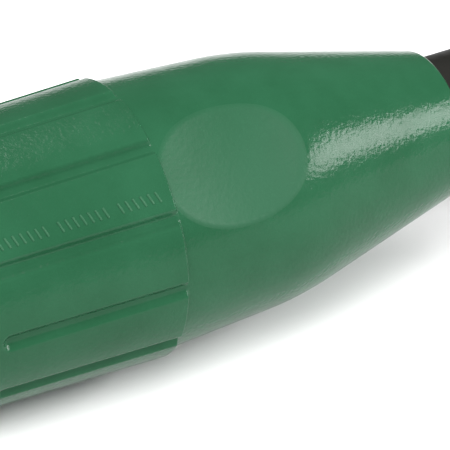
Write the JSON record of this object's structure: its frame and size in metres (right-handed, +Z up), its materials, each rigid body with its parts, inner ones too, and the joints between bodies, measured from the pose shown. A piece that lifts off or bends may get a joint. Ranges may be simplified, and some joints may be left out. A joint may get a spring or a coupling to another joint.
{
  "type": "fuel nozzle",
  "caption": "Automatic fuel dispensing nozzle with trigger lever, guard, bent spout, hand covers, ribbed swivel sleeve at the inlet and a short whip hose with a threaded end.",
  "frame": {"origin": "bottom centre of the nozzle as it lies on its side, on the surface it lies on, centred in X and Y on the box round everything but the whip hose and its end pieces", "axes": "+X along the inlet and swivel axis, from the valve body towards the hose; +Y towards the lever and guard side of the nozzle; +Z up from the surface it lies on, which is across the nozzle from its left cover to its right cover"},
  "size_m": [0.7288, 0.166, 0.0646],
  "materials": {
    "cast_aluminium": "bead-blasted, fine cast grain",
    "machined_aluminium": "turned, light rings",
    "cover_green": "moulded vinyl, fine grain",
    "sleeve_green": "semi-gloss moulded elastomer, slight orange peel",
    "black_plastic": "moulded, fine grain",
    "black_rubber": "smooth",
    "hose_rubber": "smooth cover, satin",
    "steel": "satin zinc plate",
    "spring_steel": "drawn wire",
    "black_steel": "powder coat",
    "brass": "turned",
    "spout_aluminium": "drawn tube, satin"
  },
  "bodies": {
    "nozzle_body": {"valve_body": "cast_aluminium", "cover_right": "cover_green", "cover_left": "cover_green", "cover_screws": "steel", "chamber_cap": "machined_aluminium", "cap_seal": "black_rubber", "main_spring": "spring_steel", "valve_seat": "brass", "stem_gland": "brass", "gland_seal": "black_rubber", "plunger_seal": "black_rubber", "latch_rollers": "steel", "latch_spring": "spring_steel", "diaphragm": "black_rubber", "diaphragm_cap": "machined_aluminium", "diaphragm_spring": "spring_steel", "cap_screws": "steel", "lever_guard": "black_plastic", "guard_screws": "steel", "check_seat": "brass", "check_spring": "spring_steel", "check_guide": "brass", "spout_tube": "spout_aluminium", "spout_tip": "steel", "spout_nut": "machined_aluminium", "spout_coil": "spring_steel", "splash_guard": "black_rubber", "sensing_tube": "steel", "inlet_strainer": "steel", "swivel_stem": "brass", "swivel_seals": "black_rubber", "maker_disc": "machined_aluminium"},
    "main_valve": {"main_poppet": "brass", "poppet_seal": "black_rubber", "valve_stem": "steel"},
    "latch": {"latch_plunger": "steel", "lever_pin": "steel"},
    "hand_lever": {"lever": "black_steel", "clip_pin": "steel"},
    "clip": {"hold_open_clip": "steel"},
    "check_valve": {"check_poppet": "brass"},
    "swivel": {"swivel_balls": "steel", "swivel_housing": "machined_aluminium", "hose_coupling": "steel", "hose_ferrule": "steel", "boot_sleeve": "sleeve_green", "whip_hose": "hose_rubber", "end_ferrule": "steel", "end_fitting": "brass"}
  },
  "joints": [
    {"name": "latch_slide", "type": "slide", "parent": "nozzle_body", "child": "latch", "axis": [0, 1, 0], "range_m": [0, 0.005], "stiffness_N_per_m": 1500, "springref_m": -0.006, "deforming": ["latch_spring"]},
    {"name": "lever_pull", "type": "hinge", "parent": "latch", "child": "hand_lever", "pos_m": [-0.04641, 0.01, 0.0323], "axis": [0, 0, -1], "range_deg": [0, 12], "stiffness_Nm_per_rad": 6, "springref_deg": -14.32},
    {"name": "valve_lift", "type": "slide", "parent": "nozzle_body", "child": "main_valve", "axis": [0, -1, 0], "range_m": [0, 0.0085], "stiffness_N_per_m": 1500, "springref_m": -0.006, "deforming": ["main_spring"]},
    {"name": "clip_swing", "type": "hinge", "parent": "hand_lever", "child": "clip", "pos_m": [0.04659, 0.029, 0.0323], "axis": [0, 0, 1], "range_deg": [0, 35], "stiffness_Nm_per_rad": 0.02, "springref_deg": -17.19},
    {"name": "check_lift", "type": "slide", "parent": "nozzle_body", "child": "check_valve", "axis": [-0.9781, 0.2079, 0], "range_m": [0, 0.004], "stiffness_N_per_m": 300, "springref_m": -0.004, "deforming": ["check_spring"]},
    {"name": "inlet_swivel", "type": "hinge", "parent": "nozzle_body", "child": "swivel", "pos_m": [0.14559, -0.028, 0.0323], "axis": [1, 0, 0], "continuous": true}
  ],
  "couplings": [
    {"joint": "valve_lift", "follows": "lever_pull", "m_per_rad": 0.0405}
  ]
}
